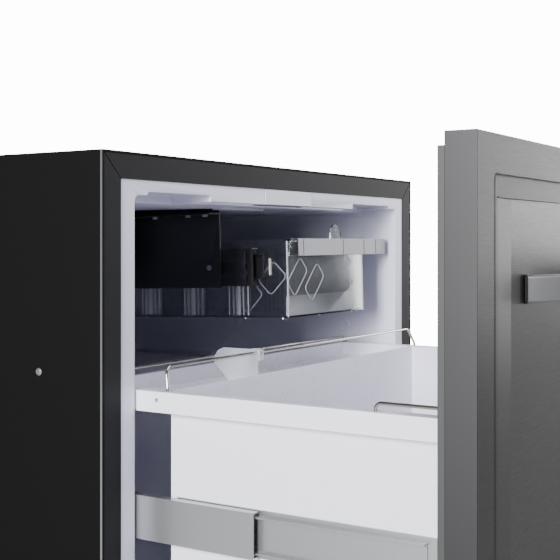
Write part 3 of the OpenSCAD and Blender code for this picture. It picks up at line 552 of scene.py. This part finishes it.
# Painted shade: a dark rounded block at each end of the handle.
low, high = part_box("handle")
end_shade_size, end_shade_round, end_shade_sunk = (0.0036, 0.003, 0.0225, 1), 0.0013, 0.0012
shape = bmesh.new()
for x in (low.x, high.x):
    place = Matrix.Translation((x, high.y - end_shade_sunk, (low.z + high.z) / 2))
    bmesh.ops.create_cube(shape, size=1, matrix=place @ Matrix.Diagonal(end_shade_size))
bmesh.ops.bevel(shape, geom=shape.edges[:], offset=end_shade_round, segments=4, profile=0.5,
                affect="EDGES")
belongs(made_from(shape, "handle_end_shades", painted_shade_and_seam_black), "handle")
print("creases: 2, handle ends: 2")

# %% [markdown]
# ## Embossing on the clear bin
# The bin's walls carry a raised pattern of rounded diamonds near the front, which stiffens
# them and grips the ice. Each is a low bead on the outer wall. They are instances of one
# rounded diamond, set on points of the wall and turned to lie in it.

# %% Diamonds on the bin's walls
bead_tree, given, result = new_tree("beads", ("Wide", "Float", 0.03), ("Tall", "Float", 0.02),
                                    ("Facing", "Vector", None), ("Finish", "Material", None))
box_line = add(bead_tree, "GeometryNodeCurvePrimitiveQuadrilateral",
               {"Width": given.outputs["Wide"], "Height": given.outputs["Tall"]})
corner = rounded_corners(bead_tree, box_line.outputs["Curve"], 6)
corner.inputs["Radius"].default_value = 0.005
bead = add(bead_tree, "GeometryNodeCurvePrimitiveCircle",
           values={"Radius": 0.0004, "Resolution": 8})
outline = add(bead_tree, "GeometryNodeCurveToMesh",
              {"Curve": corner.outputs["Curve"], "Profile Curve": bead.outputs["Curve"]})
turned = add(bead_tree, "FunctionNodeAlignRotationToVector", {"Vector": given.outputs["Facing"]},
             axis="Z")
spots = add(bead_tree, "GeometryNodeInstanceOnPoints",
            {"Points": given.outputs["Geometry"], "Instance": outline.outputs["Mesh"],
             "Rotation": turned.outputs["Rotation"]})
slant = add(bead_tree, "GeometryNodeRotateInstances", {"Instances": spots.outputs["Instances"]},
            {"Rotation": (0, 0, math.radians(45)), "Local Space": True})
real = add(bead_tree, "GeometryNodeRealizeInstances", {"Geometry": slant.outputs["Instances"]})
smooth = add(bead_tree, "GeometryNodeSetShadeSmooth", {"Geometry": real.outputs["Geometry"]})
coated = add(bead_tree, "GeometryNodeSetMaterial",
             {"Geometry": smooth.outputs["Geometry"], "Material": given.outputs["Finish"]})
bead_tree.links.new(coated.outputs["Geometry"], result.inputs["Geometry"])


def beads(name, spots_mm, facing, wide_mm, tall_mm):
    mesh = bpy.data.meshes.new(name)
    mesh.from_pydata([tuple(c / 1000 for c in spot) for spot in spots_mm], [], [])
    obj = bpy.data.objects.new(name, mesh)
    bpy.context.collection.objects.link(obj)
    made_plain(obj, bead_tree, Wide=wide_mm / 1000, Tall=tall_mm / 1000, Facing=facing, Finish=hazy)
    obj.data.transform(pitched)
    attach(obj, "bin")


side_spots = [(16.3, 32, 411), (16.3, 64, 391)]
front_spots = [(37, 11.8, 412), (74, 11.8, 405)]
beads("bin_side_diamonds", side_spots, (-1, 0, 0), 24, 30)
beads("bin_front_diamonds", front_spots, (0, -1, 0), 40, 22)
print("diamonds:", len(side_spots) + len(front_spots))

# %% [markdown]
# ## Painted highlights on the ribs
# Groups of upright ribs stand inside the side walls, so that cubes slide past each other.
# A clear rib shows a pale line of light along its edge. Each line is a painted highlight: a
# low bead of paler, milky plastic on the wall, and one tree sets all of them on their points.

# %% Rib lines on the side walls
rib_tree, given, result = new_tree("rib_lines", ("Length", "Float", 0.07),
                                   ("Thickness", "Float", 0.001), ("Finish", "Material", None))
stick = add(rib_tree, "GeometryNodeCurvePrimitiveLine")
tall = add(rib_tree, "ShaderNodeCombineXYZ", {"Z": given.outputs["Length"]})
rib_tree.links.new(tall.outputs[0], stick.inputs["End"])
ring = add(rib_tree, "GeometryNodeCurvePrimitiveCircle", {"Radius": given.outputs["Thickness"]},
           {"Resolution": 8})
rib = add(rib_tree, "GeometryNodeCurveToMesh",
          {"Curve": stick.outputs["Curve"], "Profile Curve": ring.outputs["Curve"]},
          {"Fill Caps": True})
spots = add(rib_tree, "GeometryNodeInstanceOnPoints",
            {"Points": given.outputs["Geometry"], "Instance": rib.outputs["Mesh"]})
real = add(rib_tree, "GeometryNodeRealizeInstances", {"Geometry": spots.outputs["Instances"]})
smooth = add(rib_tree, "GeometryNodeSetShadeSmooth", {"Geometry": real.outputs["Geometry"]})
coated = add(rib_tree, "GeometryNodeSetMaterial",
             {"Geometry": smooth.outputs["Geometry"], "Material": given.outputs["Finish"]})
rib_tree.links.new(coated.outputs["Geometry"], result.inputs["Geometry"])


def upright_lines(name, feet_mm, length_mm, radius_mm, finish):
    mesh = bpy.data.meshes.new(name)
    mesh.from_pydata([tuple(c / 1000 for c in foot) for foot in feet_mm], [], [])
    obj = bpy.data.objects.new(name, mesh)
    bpy.context.collection.objects.link(obj)
    made_plain(obj, rib_tree, Length=length_mm / 1000, Thickness=radius_mm / 1000, Finish=finish)
    obj.data.transform(pitched)
    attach(obj, "bin")


# Painted highlights: pale lines along the ribs of the side walls.
rib_groups = (64, 128, 192, 256)
rib_feet = [(x, group + step, 370) for x in (16.6, 190.9) for group in rib_groups
            for step in (1, 7.5, 12, 16.5, 21, 27)]
upright_lines("bin_rib_lines", rib_feet, 70, 0.8, painted_rib_highlight)
wide_feet = [(x, group + 14, 370) for x in (16.9, 190.6) for group in rib_groups]
upright_lines("bin_rib_bands", wide_feet, 70, 1.5, painted_rib_highlight)
seam_feet = [(x, 7.0, 436) for x in (32, 44, 135, 187, 218)]
upright_lines("band_seams", seam_feet, 17.5, 0.35, painted_shade_and_seam_black)
# Painted highlight: a pale line down each front corner of the bin.
bin_corner = [(17.2, 12.6, 368), (190.2, 12.6, 368)]
upright_lines("bin_corner_lines", bin_corner, 84, 0.8, painted_rib_highlight)
print("rib lines:", len(rib_feet) + len(wide_feet))

# %% [markdown]
# ## Bumper on the bin's slide
# A pale acetal block is snapped over the end of the slide's inner member. It stops the
# member on its cage and keeps the clear bin off the steel. Its front face has a shallow
# moulded recess.

# %% Slide bumper
block_size, block_round, block_at = (0.0028, 0.002, 0.0185, 1), 0.0006, (0.0132, 0.0325, 0.424)
shape = bmesh.new()
bmesh.ops.create_cube(shape, size=1, matrix=Matrix.Diagonal(block_size))
bmesh.ops.bevel(shape, geom=shape.edges[:], offset=block_round, segments=3, profile=0.5,
                affect="EDGES")
front_face = [face for face in shape.faces if face.normal.y < -0.95]
bmesh.ops.inset_region(shape, faces=front_face, thickness=0.0004, depth=-0.0003)
bumper = made_from(shape, "slide_bumper", acetal)
bumper.data.transform(pitched @ Matrix.Translation(block_at))
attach(bumper, "bin")

# %% [markdown]
# ## Pieces kept as they are
# Pipes, fins, fan blades and screws are already the right shape at the size they show, so
# they keep their engineering mesh and only take their finish.

# %% Finishes on kept nodes
kept = {
    galvanised: ["case_base"], black_rubber: ["rubber_feet", "compressor_mounts"],
    zinc_plate: ["bracket_screws", "side_screws", "mould_bracket", "gear_motor",
                 "evaporator_fan_motor", "condenser_fan_motor", "drawer_slides_outer",
                 "drawer_slides_middle", "drawer_slides_inner"],
    foam: ["foam_body", "front_core"], heater_and_edge_highlight: ["mould_heater"], acetal: ["ice_rake"],
    hose_white: ["fill_tube", "drain_tube"], bare_aluminium: ["evaporator", "condenser"],
    black_plastic: ["evaporator_fan", "condenser_fan"],
    copper: ["filter_drier", "refrigerant_lines"],
}
for finish, nodes in kept.items():
    for node in nodes:
        mesh = frame["nodes"][node].data
        mesh.materials.clear()
        mesh.materials.append(finish)
print("kept:", sum(len(nodes) for nodes in kept.values()))
